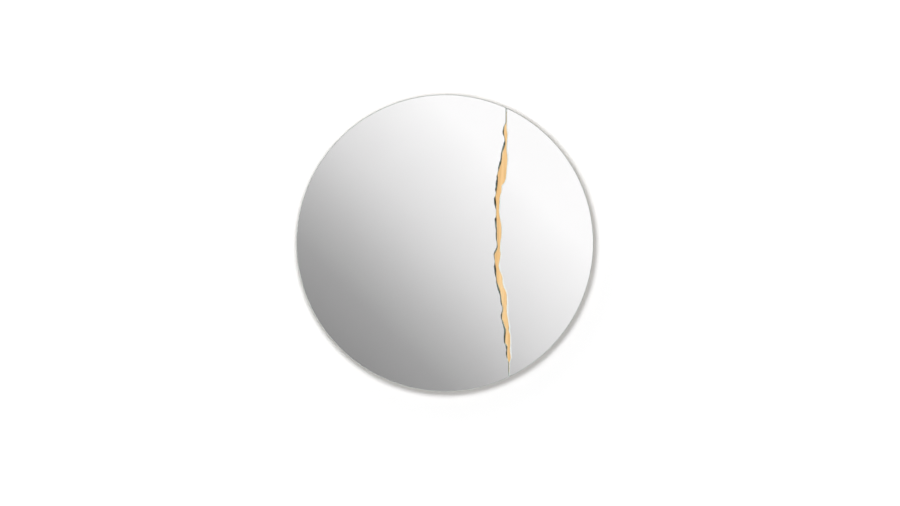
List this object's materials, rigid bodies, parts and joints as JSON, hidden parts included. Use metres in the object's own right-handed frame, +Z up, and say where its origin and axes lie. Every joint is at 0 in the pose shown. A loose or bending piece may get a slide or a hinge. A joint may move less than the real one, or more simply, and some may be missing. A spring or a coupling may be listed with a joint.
{
  "type": "broken wall mirror",
  "caption": "Frameless round wall mirror: silvered glass taped to a plywood board with keyhole hangers, broken from rim to rim so that the board shows in the gap.",
  "frame": {"origin": "the middle of the whole mirror: the disc's centre, halfway between the bumpers' wall faces and the front of the glass", "axes": "+Z up as it hangs, +X to the right as seen from the front, and the glass faces -Y"},
  "size_m": [0.6, 0.024, 0.6],
  "materials": {
    "mirror_glass": "silvered float glass with a polished rim and raw broken edges",
    "plywood": "sanded birch plywood, no lacquer",
    "foam_tape": "white polyethylene foam",
    "zinc_plated_steel": "stamped steel, bright zinc plated",
    "yellow_zinc_steel": "yellow zinc plated",
    "bumper_rubber": "grey rubber"
  },
  "bodies": {
    "root": {"large_pane": "mirror_glass", "small_pane": "mirror_glass", "backing_board": "plywood", "large_pane_tape_1": "foam_tape", "large_pane_tape_2": "foam_tape", "large_pane_tape_3": "foam_tape", "large_pane_tape_4": "foam_tape", "large_pane_tape_5": "foam_tape", "small_pane_tape_1": "foam_tape", "small_pane_tape_2": "foam_tape", "keyhole_plate_left": "zinc_plated_steel", "keyhole_plate_right": "zinc_plated_steel", "plate_screw_left_upper": "yellow_zinc_steel", "plate_screw_left_lower": "yellow_zinc_steel", "plate_screw_right_upper": "yellow_zinc_steel", "plate_screw_right_lower": "yellow_zinc_steel", "wall_bumper_1": "bumper_rubber", "wall_bumper_2": "bumper_rubber", "wall_bumper_3": "bumper_rubber", "wall_bumper_4": "bumper_rubber"}
  },
  "joints": []
}
